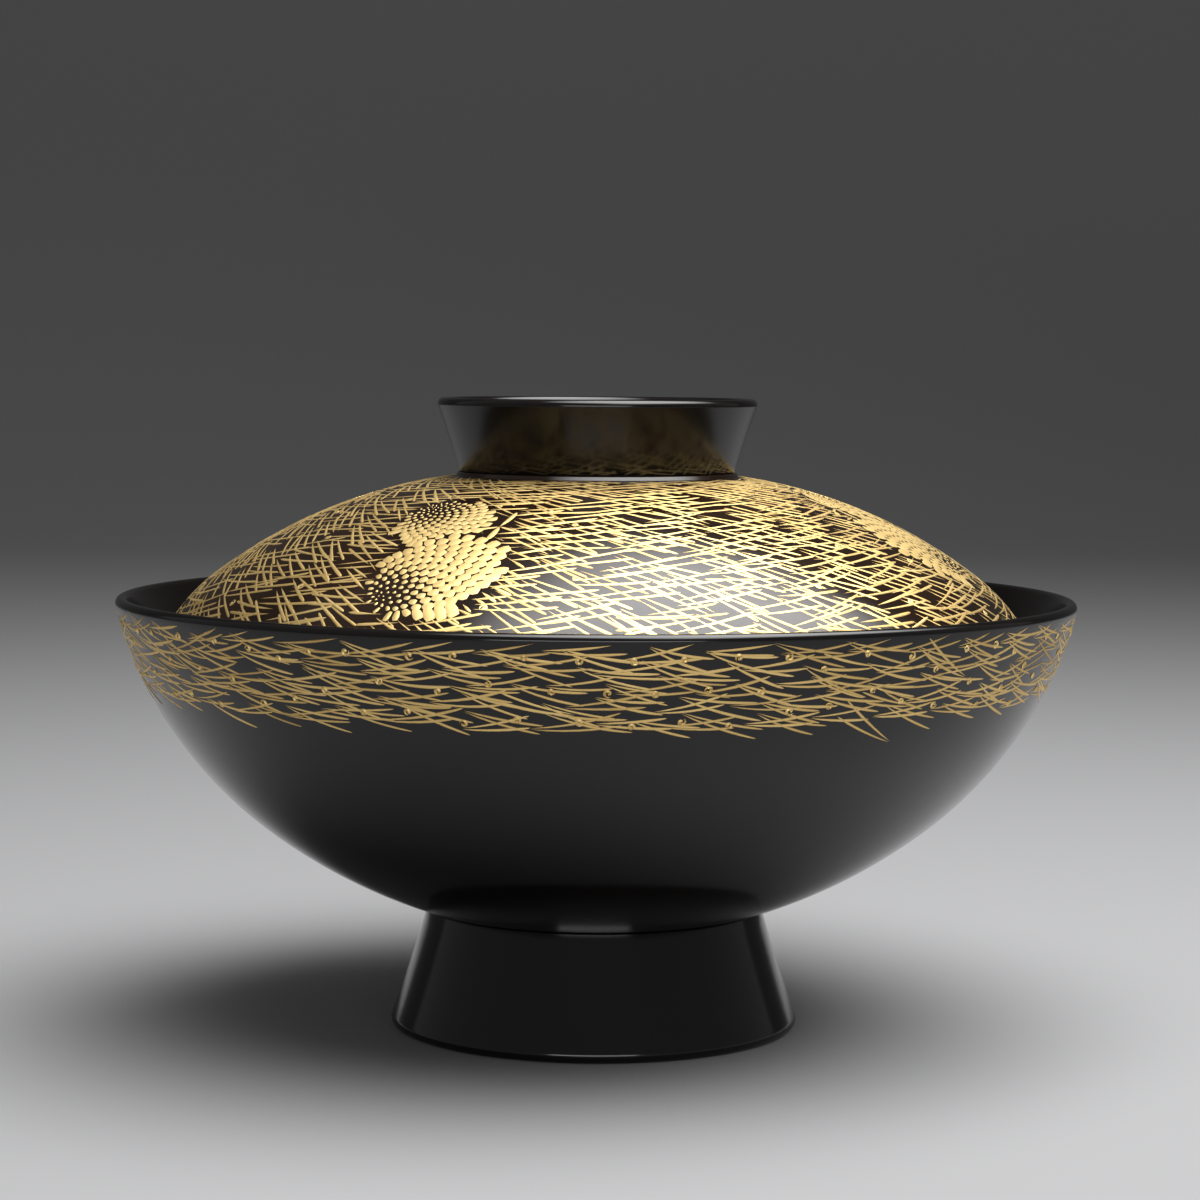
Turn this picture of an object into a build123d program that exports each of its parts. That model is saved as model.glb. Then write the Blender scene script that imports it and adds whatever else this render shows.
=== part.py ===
from build123d import *
from math import asin, atan2, cos, degrees, radians, sin, sqrt
import os

# Lidded soup bowl of turned and lacquered wood, in millimetres.
# The origin is on the table at the middle of the foot, and the axis of turning is +Z.
# Each piece is a half-section of (radius, height) points, turned about that axis.

# Bowl
rim_radius = 65.1  # outermost point of the lip
rim_height = 59.1  # top of the lip above the table
lip_thickness = 1.7  # half-round lip
belly_radius = 74.2  # round underside, centred on the axis
belly_turn = 37.6  # degrees round the underside where the side begins
belly_wall = 3.0  # wall over the round underside

# Foot ring, glued under the bowl
foot_height = 16.3  # from the table to the seam with the bowl
neck_radius = 22.9  # foot and bowl at the seam
foot_radius = 28.3  # foot at the table
foot_wall = 2.6
foot_hollow = 0.15  # how far the flare bends in from a straight line
foot_round = 1.0  # outer edge at the table
foot_inner_round = 0.5  # inner edge at the table
foot_spigot = 3.4  # depth of the bowl's spigot inside the ring

# Lid, resting by its edge on the inside of the bowl
seat_drop = 8.1  # middle of the lid's edge below the top of the lip
lid_clearance = 0.3  # between the lid's edge and the bowl's wall
edge_thickness = 1.6  # half-round edge
edge_turn = 68.5  # degrees from level at which the outside slopes at the edge
shoulder_radius = 24.8  # round outside above the edge
crown_wall = 2.4  # wall under the round top
crown_rise = 24.3  # from the middle of the edge up to the foot of the collar
collar_turn = 7.5  # degrees from level at which the outside slopes at the collar

# Collar on the lid and the knob ring, which is glued to it
collar_step = 0.5  # how far the collar stands out round the knob
collar_height = 0.6
collar_round = 0.3
knob_height = 10.0
knob_base_radius = 18.8
knob_top_radius = 22.1
knob_wall = 1.9
knob_hollow = 0.1  # how far the flare bends in from a straight line
knob_round = 0.8  # both edges of the lip
knob_spigot = 1.2  # height of the lid's spigot inside the ring

# Glued joints
glue_gap = 0.05  # round each spigot
seam_round = 0.25  # outer edge of each ring at its seam

UP = 1
DOWN = -1


def heading(turn, side):
    # Unit direction, with the turn in degrees from straight up or straight down.
    return Vector(sin(radians(turn)), side * cos(radians(turn)))


def on_arc(centre, radius, turn, side):
    return centre + heading(turn, side) * radius


def turn_to(centre, point, side):
    # Turn in degrees at which a circle's centre sees a point.
    reach = point - centre
    return degrees(atan2(reach.X, side * reach.Y))


def arc(centre, radius, first_turn, last_turn, side):
    turns = (first_turn, (first_turn + last_turn) / 2, last_turn)
    return ThreePointArc(*[on_arc(centre, radius, turn, side) for turn in turns])


def next_arc(centre, radius, turn, side, end):
    # Centre and radius of the arc that carries on smoothly from a first arc and reaches the end point.
    reach = end - centre
    along = reach.dot(heading(turn, side))
    next_radius = (reach.dot(reach) - 2 * radius * along + radius**2) / (2 * (radius - along))
    return on_arc(centre, radius - next_radius, turn, side), next_radius


def half_round(centre, thickness, outward, side):
    # Outer end, crest and inner end of a rounded rim whose walls lie square to the outward direction.
    half = thickness / 2
    along = Vector(-outward.Y, outward.X) * side
    return centre + outward * half, centre + along * half, centre - outward * half


def section_of(lines):
    return make_face([edge for line in lines for edge in line.edges()])


def rounded(section, corner, radius):
    # Round the corner of a half-section that lies nearest to a (radius, height) point.
    nearest = section.vertices().sort_by_distance((*corner, 0))[0]
    return fillet(nearest, radius)


def turned(section):
    return revolve(Plane.XZ * section, Axis.Z)


# Bowl: round underside, side and lip on the outside, and the same inside with a wall that thins to the lip
belly_centre = Vector(0, foot_height + sqrt(belly_radius**2 - neck_radius**2))
lip_centre = Vector(rim_radius - lip_thickness / 2, rim_height - lip_thickness / 2)
side_centre, lip_reach = next_arc(
    belly_centre, belly_radius - lip_thickness / 2, belly_turn, DOWN, lip_centre
)
side_radius = lip_reach + lip_thickness / 2
lip_outer, lip_crest, lip_inner = half_round(
    lip_centre, lip_thickness, (lip_centre - side_centre).normalized(), UP
)
floor_radius = belly_radius - belly_wall
wall_centre, wall_radius = next_arc(belly_centre, floor_radius, belly_turn, DOWN, lip_inner)
foot_bore = neck_radius - foot_wall
foot_ceiling = foot_height - foot_spigot


def bowl_body():
    floor = on_arc(belly_centre, floor_radius, 0, DOWN)
    neck_turn = degrees(asin(neck_radius / belly_radius))
    spigot_radius = foot_bore - glue_gap
    section = section_of([
        arc(belly_centre, floor_radius, 0, belly_turn, DOWN),
        arc(wall_centre, wall_radius, belly_turn, turn_to(wall_centre, lip_inner, DOWN), DOWN),
        ThreePointArc(lip_inner, lip_crest, lip_outer),
        arc(side_centre, side_radius, turn_to(side_centre, lip_outer, DOWN), belly_turn, DOWN),
        arc(belly_centre, belly_radius, belly_turn, neck_turn, DOWN),
        Polyline(
            (neck_radius, foot_height),
            (spigot_radius, foot_height),
            (spigot_radius, foot_ceiling),
            (0, foot_ceiling),
            floor,
        ),
    ])
    return turned(section)


def foot_ring():
    section = section_of([
        SagittaArc((foot_radius, 0), (neck_radius, foot_height), foot_hollow),
        Polyline(
            (neck_radius, foot_height),
            (foot_bore, foot_height),
            (foot_bore, foot_ceiling),
            (foot_radius - foot_wall, 0),
            (foot_radius, 0),
        ),
    ])
    section = rounded(section, (foot_radius, 0), foot_round)
    section = rounded(section, (foot_radius - foot_wall, 0), foot_inner_round)
    section = rounded(section, (neck_radius, foot_height), seam_round)
    return turned(section)


# Lid: its edge stands off the bowl's wall by the clearance, with the shoulder above it,
# and the round top joins the shoulder smoothly to the foot of the collar
seat_height = rim_height - seat_drop
edge_reach = wall_radius - edge_thickness / 2 - lid_clearance
edge_centre = Vector(
    wall_centre.X + sqrt(edge_reach**2 - (seat_height - wall_centre.Y) ** 2), seat_height
)
edge_outward = heading(edge_turn, UP)
edge_outer, edge_crest, edge_inner = half_round(edge_centre, edge_thickness, edge_outward, DOWN)
shoulder_centre = edge_centre - edge_outward * (shoulder_radius - edge_thickness / 2)
collar_radius = knob_base_radius + collar_step
collar_foot = seat_height + crown_rise
collar_top = collar_foot + collar_height
collar_outward = heading(collar_turn, UP)
shoulder_reach = shoulder_centre - Vector(collar_radius, collar_foot)
crown_radius = (shoulder_reach.dot(shoulder_reach) - shoulder_radius**2) / (
    -2 * (shoulder_reach.dot(collar_outward) + shoulder_radius)
)
crown_centre = Vector(collar_radius, collar_foot) - collar_outward * crown_radius
crown_turn = turn_to(crown_centre, shoulder_centre, UP)
knob_bore = knob_base_radius - knob_wall
knob_floor = collar_top + knob_spigot


def lid_dome():
    hollow_radius = crown_radius - crown_wall
    ceiling_end = on_arc(crown_centre, hollow_radius, collar_turn, UP)
    ceiling_radius = ceiling_end.X / collar_outward.X
    ceiling_centre = ceiling_end - collar_outward * ceiling_radius
    ceiling = on_arc(ceiling_centre, ceiling_radius, 0, UP)
    hip_centre, hip_radius = next_arc(crown_centre, hollow_radius, crown_turn, UP, edge_inner)
    spigot_radius = knob_bore - glue_gap
    section = section_of([
        arc(ceiling_centre, ceiling_radius, 0, collar_turn, UP),
        arc(crown_centre, hollow_radius, collar_turn, crown_turn, UP),
        arc(hip_centre, hip_radius, crown_turn, turn_to(hip_centre, edge_inner, UP), UP),
        ThreePointArc(edge_inner, edge_crest, edge_outer),
        arc(shoulder_centre, shoulder_radius, edge_turn, crown_turn, UP),
        arc(crown_centre, crown_radius, crown_turn, collar_turn, UP),
        Polyline(
            (collar_radius, collar_foot),
            (collar_radius, collar_top),
            (spigot_radius, collar_top),
            (spigot_radius, knob_floor),
            (0, knob_floor),
            ceiling,
        ),
    ])
    section = rounded(section, (collar_radius, collar_top), collar_round)
    return turned(section)


def knob_ring():
    knob_top = collar_top + knob_height
    section = section_of([
        SagittaArc((knob_base_radius, collar_top), (knob_top_radius, knob_top), knob_hollow),
        Polyline(
            (knob_top_radius, knob_top),
            (knob_top_radius - knob_wall, knob_top),
            (knob_bore, knob_floor),
            (knob_bore, collar_top),
            (knob_base_radius, collar_top),
        ),
    ])
    section = rounded(section, (knob_top_radius, knob_top), knob_round)
    section = rounded(section, (knob_top_radius - knob_wall, knob_top), knob_round)
    section = rounded(section, (knob_base_radius, collar_top), seam_round)
    return turned(section)


os.makedirs("parts", exist_ok=True)
for piece in (bowl_body, foot_ring, lid_dome, knob_ring):
    export_step(piece(), f"parts/{piece.__name__}.step")
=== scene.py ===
from collections import namedtuple
from math import asin, atan2, ceil, copysign, cos, pi, radians, sin, sqrt, tan

import bmesh
import bpy
from mathutils import Matrix, Vector


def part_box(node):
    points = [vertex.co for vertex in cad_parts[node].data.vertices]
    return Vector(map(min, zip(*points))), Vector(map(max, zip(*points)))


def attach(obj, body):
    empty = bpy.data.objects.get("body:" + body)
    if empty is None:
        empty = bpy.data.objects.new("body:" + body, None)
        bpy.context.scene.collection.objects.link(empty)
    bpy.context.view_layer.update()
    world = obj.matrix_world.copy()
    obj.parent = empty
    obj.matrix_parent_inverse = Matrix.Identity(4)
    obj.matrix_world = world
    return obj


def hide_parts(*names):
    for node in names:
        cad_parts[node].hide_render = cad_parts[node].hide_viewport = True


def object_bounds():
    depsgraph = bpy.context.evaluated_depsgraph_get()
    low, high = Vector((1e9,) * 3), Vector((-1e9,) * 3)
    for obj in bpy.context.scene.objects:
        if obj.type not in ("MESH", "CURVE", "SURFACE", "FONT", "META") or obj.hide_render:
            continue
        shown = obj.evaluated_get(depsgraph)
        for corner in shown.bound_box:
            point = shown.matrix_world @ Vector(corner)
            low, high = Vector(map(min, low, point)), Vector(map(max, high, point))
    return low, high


# Lidded soup bowl of turned wood in black lacquer, with pine needles and cones painted in gold powder

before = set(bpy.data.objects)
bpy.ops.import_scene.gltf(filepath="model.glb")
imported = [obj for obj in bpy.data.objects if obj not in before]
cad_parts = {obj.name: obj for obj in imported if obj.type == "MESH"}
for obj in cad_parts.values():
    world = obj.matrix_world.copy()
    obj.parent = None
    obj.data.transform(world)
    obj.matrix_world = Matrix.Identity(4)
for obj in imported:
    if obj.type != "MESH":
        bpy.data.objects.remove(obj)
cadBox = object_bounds()

mm = 0.001
fullTurn = 2 * pi
goldenTurn = pi * (3 - sqrt(5))
up, down = 1, -1
weld = 0.0005 * mm  # points closer than this are one


# Formulas in node trees

def mathsOperator(operation, order=1):
    return lambda self, other: maths(self.tree, operation, *(self, other)[::order])


class Formula:  # a value on a socket: arithmetic on it adds Math nodes to its tree
    __add__ = mathsOperator("ADD")
    __radd__ = mathsOperator("ADD", -1)
    __sub__ = mathsOperator("SUBTRACT")
    __rsub__ = mathsOperator("SUBTRACT", -1)
    __mul__ = mathsOperator("MULTIPLY")
    __truediv__ = mathsOperator("DIVIDE")
    __pow__ = mathsOperator("POWER")
    __lt__ = mathsOperator("LESS_THAN")
    __gt__ = mathsOperator("GREATER_THAN")

    def __init__(self, tree, socket):
        self.tree = tree
        self.socket = socket


def plug(tree, socket, value):
    if isinstance(value, Formula):
        value = value.socket
    if isinstance(value, bpy.types.NodeSocket):
        tree.links.new(value, socket)
    else:
        socket.default_value = value


def setInputs(tree, node, inputs):
    for name, value in inputs.items():
        socket = next(socket for socket in node.inputs if socket.enabled and socket.name == name)
        plug(tree, socket, value)


def addNode(tree, kind, inputs=None, **settings):
    node = tree.nodes.new(kind)
    for name, value in settings.items():
        setattr(node, name, value)
    setInputs(tree, node, inputs or {})
    return node


def outputOf(node, name=None):
    return next(socket for socket in node.outputs if socket.enabled and name in (None, socket.name))


def maths(tree, operation, *values):
    node = addNode(tree, "ShaderNodeMath", operation=operation)
    for socket, value in zip(node.inputs, values):
        plug(tree, socket, value)
    return Formula(tree, node.outputs[0])


def sine(angle):
    return maths(angle.tree, "SINE", angle)


def cosine(angle):
    return maths(angle.tree, "COSINE", angle)


def angleOf(across, ahead):
    return maths(across.tree, "ARCTAN2", across, ahead)


def root(value):
    return maths(value.tree, "SQRT", value)


def lengthOf(x, y):
    return root(x * x + y * y)


def between(test, no, yes):  # no where the test is 0, yes where it is 1
    return test * (yes - no) + no


def ramp(value, low, high):  # 0 below low, 1 above high
    inputs = {"Value": value, "From Min": low, "From Max": high}
    return Formula(value.tree, outputOf(addNode(value.tree, "ShaderNodeMapRange", inputs, clamp=True)))


def partsOf(tree, vector):
    node = addNode(tree, "ShaderNodeSeparateXYZ", {"Vector": vector})
    return [Formula(tree, socket) for socket in node.outputs]


def vectorOf(x, y, z):
    tree = next(part.tree for part in (x, y, z) if isinstance(part, Formula))
    return addNode(tree, "ShaderNodeCombineXYZ", {"X": x, "Y": y, "Z": z}).outputs[0]


def roundAxis(reach, angle, height):
    return vectorOf(reach * cosine(angle), reach * sine(angle), height)


def turnedBy(angle, ahead, sideways):  # offsets to the right and down
    return ahead * cosine(angle) - sideways * sine(angle), ahead * sine(angle) + sideways * cosine(angle)


def positionOf(tree):
    return addNode(tree, "GeometryNodeInputPosition").outputs[0]


def indexOf(tree):
    return Formula(tree, addNode(tree, "GeometryNodeInputIndex").outputs[0])


def chance(tree, low, high, seed):
    node = addNode(tree, "FunctionNodeRandomValue", {"Min": low, "Max": high, "Seed": seed})
    return Formula(tree, outputOf(node, "Value"))


# Geometry Nodes trees and the plain meshes that they give

def newGroup(name, kind, inputs, outputs):
    group = bpy.data.node_groups.new(name, kind)
    for flow, sockets in (("INPUT", inputs), ("OUTPUT", outputs)):
        for label, valueKind in sockets.items():
            group.interface.new_socket(label, in_out=flow, socket_type="NodeSocket" + valueKind)
    entry = group.nodes.new("NodeGroupInput")
    return group, {socket.name: Formula(group, socket) for socket in entry.outputs if socket.name}


def newTree(name, values):  # with an input for each value that the tree will be given
    kinds = {int: "Int", float: "Float", tuple: "Vector", bpy.types.Material: "Material"}
    geometry = {"Geometry": "Geometry"}
    inputs = {label: kinds[type(value)] for label, value in values.items()}
    return newGroup(name, "GeometryNodeTree", geometry | inputs, geometry)


def changed(tree, geometry, kind, inputs=None, **settings):
    return addNode(tree, kind, {"Geometry": geometry} | (inputs or {}), **settings).outputs[0]


def endTree(tree, geometry, finish):
    geometry = changed(tree, geometry, "GeometryNodeMergeByDistance", {"Distance": weld})
    geometry = changed(tree, geometry, "GeometryNodeSetShadeSmooth")
    geometry = changed(tree, geometry, "GeometryNodeRealizeInstances")
    geometry = changed(tree, geometry, "GeometryNodeSetMaterial", {"Material": finish})
    addNode(tree, "NodeGroupOutput", {"Geometry": geometry})
    return tree


def capture(tree, geometry, fields):  # keeps each field's value on the points that it has now
    node = addNode(tree, "GeometryNodeCaptureAttribute", domain="POINT")
    for name in fields:
        node.capture_items.new("FLOAT", name)
    setInputs(tree, node, {"Geometry": geometry} | fields)
    return node.outputs["Geometry"], {name: Formula(tree, node.outputs[name]) for name in fields}


def repeatPoints(tree, points, amount):  # and the number of each copy
    inputs = {"Geometry": points, "Amount": amount}
    node = addNode(tree, "GeometryNodeDuplicateElements", inputs, domain="POINT")
    return node.outputs["Geometry"], Formula(tree, node.outputs["Duplicate Index"])


def setPlaces(tree, geometry, place):
    return changed(tree, geometry, "GeometryNodeSetPosition", {"Position": place})


def dropWhere(tree, geometry, test, domain):
    return changed(tree, geometry, "GeometryNodeDeleteGeometry", {"Selection": test}, domain=domain)


def newObject(name, data):
    thing = bpy.data.objects.new(name, data)
    bpy.context.scene.collection.objects.link(thing)
    return thing


def pointsObject(name, points, attributes=None):
    mesh = bpy.data.meshes.new(name)
    mesh.from_pydata(points, [], [])
    for key, values in (attributes or {}).items():
        mesh.attributes.new(key, "FLOAT", "POINT").data.foreach_set("value", values)
    return newObject(name, mesh)


def runTree(source, tree, values):
    modifier = source.modifiers.new(tree.name, "NODES")
    modifier.node_group = tree
    for item in tree.interface.items_tree:
        if item.in_out == "INPUT" and item.name in values:
            modifier[item.identifier] = values[item.name]


def plainPiece(source, name, sharpTurn):  # what the trees give as a plain mesh, its faces outwards
    bpy.context.view_layer.update()
    view = bpy.context.evaluated_depsgraph_get()
    result = source.evaluated_get(view)
    mesh = bpy.data.meshes.new_from_object(result, preserve_all_data_layers=True, depsgraph=view)
    mesh.name = name
    bpy.data.objects.remove(source)
    form = bmesh.new()
    form.from_mesh(mesh)
    bmesh.ops.recalc_face_normals(form, faces=form.faces)
    form.to_mesh(mesh)
    form.free()
    mesh.set_sharp_from_angle(angle=sharpTurn)
    print("made", name, "with", sum(len(face.vertices) - 2 for face in mesh.polygons), "triangles")
    return newObject(name, mesh)


# Half-sections of the turned pieces, as (radius, height) points

Arc = namedtuple("Arc", "centre radius first last side")  # turns from straight up or straight down

lathe = {
    "segments": 256,
    "step": 0.8 * mm,  # between points on an arc
    "roundSteps": 6,  # on a small round
    "flareSteps": 10,
    "sharpTurn": radians(35),
}


def shares(count):  # 0 to 1 in even steps
    return [i / count for i in range(count + 1)]


def heading(turn, side):
    return Vector((sin(turn), side * cos(turn)))


def turnTo(centre, point, side):
    reach = point - centre
    return atan2(reach.x, side * reach.y)


def arcPoints(arc):
    sweep = arc.last - arc.first
    count = ceil(abs(sweep) * arc.radius / lathe["step"])
    turns = [arc.first + sweep * share for share in shares(count)]
    return [arc.centre + heading(turn, arc.side) * arc.radius for turn in turns]


def nextArc(arc, end):  # carries on smoothly from the end of an arc and reaches a point
    onward = heading(arc.last, arc.side)
    reach = end - arc.centre
    along = reach.dot(onward)
    radius = (reach.length_squared - 2 * arc.radius * along + arc.radius**2) / (2 * (arc.radius - along))
    centre = arc.centre + onward * (arc.radius - radius)
    return Arc(centre, radius, arc.last, turnTo(centre, end, arc.side), arc.side)


def reversedArc(arc):
    return arc._replace(first=arc.last, last=arc.first)


def halfRound(centre, inner, side):  # from the inner end over the crest to the outer end
    reach = inner - centre
    crest = Vector((reach.y, -reach.x)) * side
    turns = [pi * share for share in shares(2 * lathe["roundSteps"])]
    return [centre + reach * cos(turn) + crest * sin(turn) for turn in turns]


def roundCorner(before, corner, after, radius):
    back = (before - corner).normalized()
    onward = (after - corner).normalized()
    half = back.angle(onward) / 2
    centre = corner + (back + onward).normalized() * radius / sin(half)
    start = (corner + back * radius / tan(half) - centre).normalized()
    end = (corner + onward * radius / tan(half) - centre).normalized()
    return [centre + start.slerp(end, share) * radius for share in shares(lathe["roundSteps"])]


def roundedLoop(points, rounds):  # closed outline, with a radius for some of its corners
    outline = []
    for i, corner in enumerate(points):
        if i in rounds:
            outline += roundCorner(points[i - 1], corner, points[(i + 1) % len(points)], rounds[i])
        else:
            outline.append(corner)
    return outline + outline[:1]


def flare(start, end, hollow):  # from a low point to a higher one, bent in towards the axis
    chord = end - start
    inward = Vector((-chord.y, chord.x)).normalized()
    bend = inward * hollow * 4
    return [start + chord * share + bend * share * (1 - share) for share in shares(lathe["flareSteps"])]


def pointsAt(*places):
    return [Vector(place) for place in places]


def joined(*runs):
    points = list(runs[0])
    for run in runs[1:]:
        points += run[1:] if (run[0] - points[-1]).length < weld else run
    return points


bowl = {
    "lip": 1.7 * mm,  # half-round lip
    "bellyRadius": 74.2 * mm,
    "bellyTurn": radians(37.6),  # where the side takes over from the round underside
    "bellyWall": 3.0 * mm,
}
foot = {
    "radius": 28.3 * mm,
    "neckRadius": 22.9 * mm,
    "wall": 2.6 * mm,
    "hollow": 0.15 * mm,
    "outerRound": 1.0 * mm,
    "innerRound": 0.5 * mm,
    "seamRound": 0.25 * mm,
}
glueGap = 0.05 * mm

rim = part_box("bowl_body")[1]
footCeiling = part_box("bowl_body")[0].z
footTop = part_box("foot_ring")[1].z
footBore = foot["neckRadius"] - foot["wall"]
neck = Vector((foot["neckRadius"], footTop))

bellyCentre = Vector((0, footTop + sqrt(bowl["bellyRadius"] ** 2 - foot["neckRadius"] ** 2)))
neckTurn = asin(foot["neckRadius"] / bowl["bellyRadius"])
belly = Arc(bellyCentre, bowl["bellyRadius"], neckTurn, bowl["bellyTurn"], down)
lipCentre = Vector((rim.x, rim.z)) - Vector((1, 1)) * bowl["lip"] / 2
lipCourse = nextArc(belly._replace(radius=belly.radius - bowl["lip"] / 2), lipCentre)
side = lipCourse._replace(radius=lipCourse.radius + bowl["lip"] / 2)
lipInner = lipCentre - (lipCentre - side.centre).normalized() * bowl["lip"] / 2
floorArc = belly._replace(radius=belly.radius - bowl["bellyWall"], first=0)
wallArc = nextArc(floorArc, lipInner)


def bowlSection():
    spigot = footBore - glueGap
    return joined(
        arcPoints(floorArc),
        arcPoints(wallArc),
        halfRound(lipCentre, lipInner, up),
        arcPoints(reversedArc(side)),
        arcPoints(reversedArc(belly)),
        pointsAt(neck, (spigot, footTop), (spigot, footCeiling), (0, footCeiling)),
    )


def footSection():
    outside = flare(Vector((foot["radius"], 0)), neck, foot["hollow"])
    inside = pointsAt((footBore, footTop), (footBore, footCeiling), (foot["radius"] - foot["wall"], 0))
    rounds = {
        0: foot["outerRound"],
        len(outside) - 1: foot["seamRound"],
        len(outside) + len(inside) - 1: foot["innerRound"],
    }
    return roundedLoop(outside + inside, rounds)


lid = {
    "edge": 1.6 * mm,  # half-round edge
    "clearance": 0.3 * mm,  # to the wall of the bowl
    "edgeTurn": radians(68.5),
    "shoulderRadius": 24.8 * mm,
    "crownWall": 2.4 * mm,
    "collarTurn": radians(7.5),
    "collarStep": 0.5 * mm,
    "collarHeight": 0.6 * mm,
    "collarSlope": 0.38 * mm,  # how far its face leans in
    "collarRound": 0.3 * mm,
    "collarCove": 0.2 * mm,  # lacquer gathers in the corner
}
knob = {
    "baseRadius": 18.8 * mm,
    "topRadius": 22.1 * mm,
    "wall": 1.9 * mm,
    "hollow": 0.1 * mm,
    "lipRound": 0.8 * mm,
    "seamRound": 0.25 * mm,
}

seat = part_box("lid_dome")[0].z + lid["edge"] / 2
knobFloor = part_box("lid_dome")[1].z
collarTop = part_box("knob_ring")[0].z
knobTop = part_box("knob_ring")[1].z
knobBore = knob["baseRadius"] - knob["wall"]
collarRadius = knob["baseRadius"] + lid["collarStep"]
collarFoot = Vector((collarRadius, collarTop - lid["collarHeight"]))

edgeReach = wallArc.radius - lid["edge"] / 2 - lid["clearance"]
edgeCentre = Vector((wallArc.centre.x + sqrt(edgeReach**2 - (seat - wallArc.centre.y) ** 2), seat))
edgeOutward = heading(lid["edgeTurn"], up)
edgeInner = edgeCentre - edgeOutward * lid["edge"] / 2
shoulderCentre = edgeCentre - edgeOutward * (lid["shoulderRadius"] - lid["edge"] / 2)
collarOutward = heading(lid["collarTurn"], up)
shoulderReach = shoulderCentre - collarFoot
crownRadius = (shoulderReach.length_squared - lid["shoulderRadius"] ** 2) / (
    -2 * (shoulderReach.dot(collarOutward) + lid["shoulderRadius"])
)
crownCentre = collarFoot - collarOutward * crownRadius
crownTurn = turnTo(crownCentre, shoulderCentre, up)
crown = Arc(crownCentre, crownRadius, lid["collarTurn"], crownTurn, up)
shoulder = Arc(shoulderCentre, lid["shoulderRadius"], crownTurn, lid["edgeTurn"], up)


def lidSection():
    hollow = crown._replace(radius=crown.radius - lid["crownWall"])
    ceilingEnd = hollow.centre + collarOutward * hollow.radius
    ceilingRadius = ceilingEnd.x / collarOutward.x
    ceiling = Arc(ceilingEnd - collarOutward * ceilingRadius, ceilingRadius, 0, hollow.first, up)
    collarEdge = Vector((collarRadius - lid["collarSlope"], collarTop))
    spigot = knobBore - glueGap
    outside = arcPoints(reversedArc(crown))[:-1]
    return joined(
        arcPoints(ceiling),
        arcPoints(hollow),
        arcPoints(nextArc(hollow, edgeInner)),
        halfRound(edgeCentre, edgeInner, down),
        arcPoints(reversedArc(shoulder)),
        outside,
        roundCorner(outside[-1], collarFoot, collarEdge, lid["collarCove"]),
        roundCorner(collarFoot, collarEdge, Vector((spigot, collarTop)), lid["collarRound"]),
        pointsAt((spigot, collarTop), (spigot, knobFloor), (0, knobFloor)),
    )


def knobSection():
    base = Vector((knob["baseRadius"], collarTop))
    outside = flare(base, Vector((knob["topRadius"], knobTop)), knob["hollow"])
    lip = (knob["topRadius"] - knob["wall"], knobTop)
    inside = pointsAt(lip, (knobBore, knobFloor), (knobBore, collarTop))
    rounds = {
        0: knob["seamRound"],
        len(outside) - 1: knob["lipRound"],
        len(outside): knob["lipRound"],
    }
    return roundedLoop(outside + inside, rounds)


# Finishes

def newMaterial(name):
    material = bpy.data.materials.new(name)
    material.use_nodes = True
    return material.node_tree, material.node_tree.nodes["Principled BSDF"], material


def objectPlace(tree):
    return addNode(tree, "ShaderNodeTexCoord").outputs["Object"]


def noise(tree, place, scale):
    node = addNode(tree, "ShaderNodeTexNoise", {"Vector": place, "Scale": scale, "Detail": 2.0})
    return Formula(tree, node.outputs[0])


def handFinish():  # slow clouds, rings left by turning and rubbing, and fine grain
    group, inputs = newGroup(
        "hand_finish",
        "ShaderNodeTree",
        {"Place": "Vector", "Cloud Scale": "Float", "Ring Scale": "Float", "Grain Scale": "Float"},
        {"Cloud": "Float", "Rings": "Float", "Grain": "Float"},
    )
    x, y, z = partsOf(group, inputs["Place"])
    rings = vectorOf(lengthOf(x, y), 0.0, z)
    outputs = {
        "Cloud": noise(group, inputs["Place"], inputs["Cloud Scale"]),
        "Rings": noise(group, rings, inputs["Ring Scale"]),
        "Grain": noise(group, inputs["Place"], inputs["Grain Scale"]),
    }
    addNode(group, "NodeGroupOutput", outputs)
    return group


def placeFinish(tree, group, scales):
    node = addNode(tree, "ShaderNodeGroup", node_tree=group)
    setInputs(tree, node, {"Place": objectPlace(tree)} | scales)
    return [Formula(tree, node.outputs[name]) for name in ("Cloud", "Rings", "Grain")]


def mixColours(tree, share, first, second):
    node = addNode(tree, "ShaderNodeMix", {"Factor": share, "A": first, "B": second}, data_type="RGBA")
    return outputOf(node, "Result")


def bump(tree, height, distance):
    return addNode(tree, "ShaderNodeBump", {"Height": height, "Distance": distance}).outputs[0]


lacquer = {
    "scales": {"Cloud Scale": 45.0, "Ring Scale": 1500.0, "Grain Scale": 420.0},
    "black": (0.0012, 0.0011, 0.0011, 1),
    # painted reflection of brown surroundings, mixed into the black as warm clouds
    "paintedBrownReflection": (0.0040, 0.0026, 0.0020, 1),
    "paintedGoldReflection": (0.020, 0.0085, 0.0030, 1),  # gold dust among the needles of the lid
    "roughness": 0.10,
    # painted reflection of the gold needles: warm brown clouds in the lid's lacquer
    "cloudRoughness": 0.05,
    "ringRoughness": 0.03,
    "unevenness": 0.004 * mm,
    "grainHeight": 0.3,  # as a share of the unevenness
    "ior": 1.45,
}


def blackLacquer(group, name, tint):
    tree, shader, material = newMaterial(name)
    cloud, rings, grain = placeFinish(tree, group, lacquer["scales"])
    rough = cloud * lacquer["cloudRoughness"] + rings * lacquer["ringRoughness"] + lacquer["roughness"]
    uneven = cloud + grain * lacquer["grainHeight"]
    setInputs(tree, shader, {
        # the tint is a painted reflection, which the clouds mix into the black
        "Base Color": mixColours(tree, cloud, lacquer["black"], tint),
        "Roughness": rough,
        "Normal": bump(tree, uneven, lacquer["unevenness"]),
        "IOR": lacquer["ior"],
    })
    return material


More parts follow.
